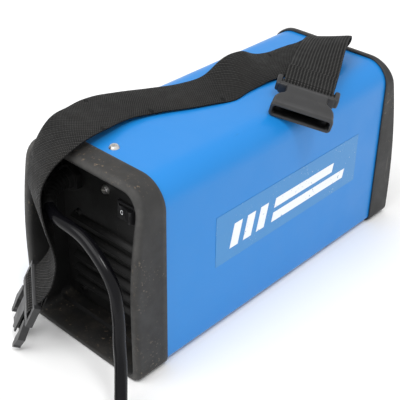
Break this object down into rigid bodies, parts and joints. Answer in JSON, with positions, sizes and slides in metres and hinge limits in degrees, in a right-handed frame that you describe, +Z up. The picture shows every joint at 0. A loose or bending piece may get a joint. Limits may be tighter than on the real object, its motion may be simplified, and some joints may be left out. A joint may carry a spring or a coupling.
{
  "type": "stick welding inverter",
  "caption": "Small stick welding inverter with a blue steel cover, moulded end frames, a webbing shoulder strap with a buckle, and a mains lead.",
  "frame": {"origin": "on the ground plane, under the middle of the cover", "axes": "+Z up, front with the welding sockets towards -Y, rear with the mains lead towards +Y"},
  "size_m": [0.2171, 0.5035, 0.1751],
  "materials": {
    "shell_paint": "satin gloss enamel",
    "zinc_sheet": "zinc plated",
    "frame_plastic": "scuffed matte moulding",
    "panel_plastic": "matte moulding",
    "screw_steel": "bright plated",
    "black_screw": "black oxide",
    "switch_plastic": "semi-gloss",
    "gland_plastic": "matte",
    "cable_pvc": "smooth glossy jacket",
    "plug_plastic": "matte",
    "socket_plastic": "matte",
    "brass_contact": "turned",
    "knob_plastic": "matte",
    "dial_print": "printed foil",
    "green_lens": "translucent",
    "amber_lens": "translucent",
    "label_film": null,
    "webbing": "ribbed webbing",
    "buckle_plastic": "fine-textured moulding",
    "board_fibre": "solder mask",
    "bare_aluminium": "extruded",
    "chip_epoxy": "epoxy",
    "capacitor_sleeve": "shrink sleeve",
    "ferrite": "sintered",
    "winding_enamel": "enamelled copper",
    "copper_bar": "plain copper"
  },
  "bodies": {
    "machine": {"shell_cover": "shell_paint", "base_tray": "zinc_sheet", "front_bezel": "frame_plastic", "rear_bezel": "frame_plastic", "front_panel": "panel_plastic", "rear_panel": "panel_plastic", "cover_screws": "screw_steel", "base_screws": "screw_steel", "front_panel_screws": "screw_steel", "rear_panel_screws": "screw_steel", "switch_body": "switch_plastic", "cable_gland": "gland_plastic", "gland_nut": "gland_plastic", "strain_relief": "gland_plastic", "mains_cable": "cable_pvc", "cable_coil": "cable_pvc", "plug_lead": "cable_pvc", "plug_body": "plug_plastic", "plug_pins": "screw_steel", "plug_earth_clips": "zinc_sheet", "fan_frame": "panel_plastic", "fan_screws": "black_screw", "positive_socket": "socket_plastic", "negative_socket": "socket_plastic", "positive_contact": "brass_contact", "negative_contact": "brass_contact", "socket_nuts": "screw_steel", "dial_plate": "dial_print", "potentiometer": "bare_aluminium", "power_light": "green_lens", "fault_light": "amber_lens", "side_label": "label_film", "shoulder_strap": "webbing", "strap_hem": "webbing", "buckle_female": "buckle_plastic", "buckle_male": "buckle_plastic", "power_board": "board_fibre", "control_board": "board_fibre", "board_standoffs": "brass_contact", "inverter_heatsink": "bare_aluminium", "rectifier_heatsink": "bare_aluminium", "inverter_transistors": "chip_epoxy", "rectifier_diodes": "chip_epoxy", "bridge_rectifier": "chip_epoxy", "filter_capacitors": "capacitor_sleeve", "transformer_core": "ferrite", "transformer_windings": "winding_enamel", "choke_core": "ferrite", "choke_winding": "winding_enamel", "mains_filter": "chip_epoxy", "positive_busbar": "copper_bar", "negative_busbar": "copper_bar"},
    "rocker": {"switch_rocker": "switch_plastic"},
    "fan": {"fan_rotor": "panel_plastic"},
    "knob": {"current_knob": "knob_plastic", "knob_shaft": "brass_contact"},
    "arm_near": {"buckle_arm_near": "buckle_plastic"},
    "arm_far": {"buckle_arm_far": "buckle_plastic"}
  },
  "joints": [
    {"name": "switch_tilt", "type": "hinge", "parent": "machine", "child": "rocker", "pos_m": [-0.02, 0.123, 0.113], "axis": [0, 0, 1], "range_deg": [0, 20]},
    {"name": "knob_turn", "type": "hinge", "parent": "machine", "child": "knob", "pos_m": [0, -0.134, 0.1], "axis": [0, -1, 0], "range_deg": [-135, 135]},
    {"name": "fan_spin", "type": "hinge", "parent": "machine", "child": "fan", "pos_m": [0, 0.108, 0.052], "axis": [0, 1, 0], "continuous": true},
    {"name": "near_arm_flex", "type": "hinge", "parent": "machine", "child": "arm_near", "pos_m": [0.02325, 0.18936, 0.02742], "axis": [0.5105, 0.7679, 0.3869], "range_deg": [-8, 0], "stiffness_Nm_per_rad": 0.3},
    {"name": "far_arm_flex", "type": "hinge", "parent": "machine", "child": "arm_far", "pos_m": [0.05093, 0.1685, 0.03229], "axis": [0.5105, 0.7679, 0.3869], "range_deg": [0, 8], "stiffness_Nm_per_rad": 0.3}
  ]
}
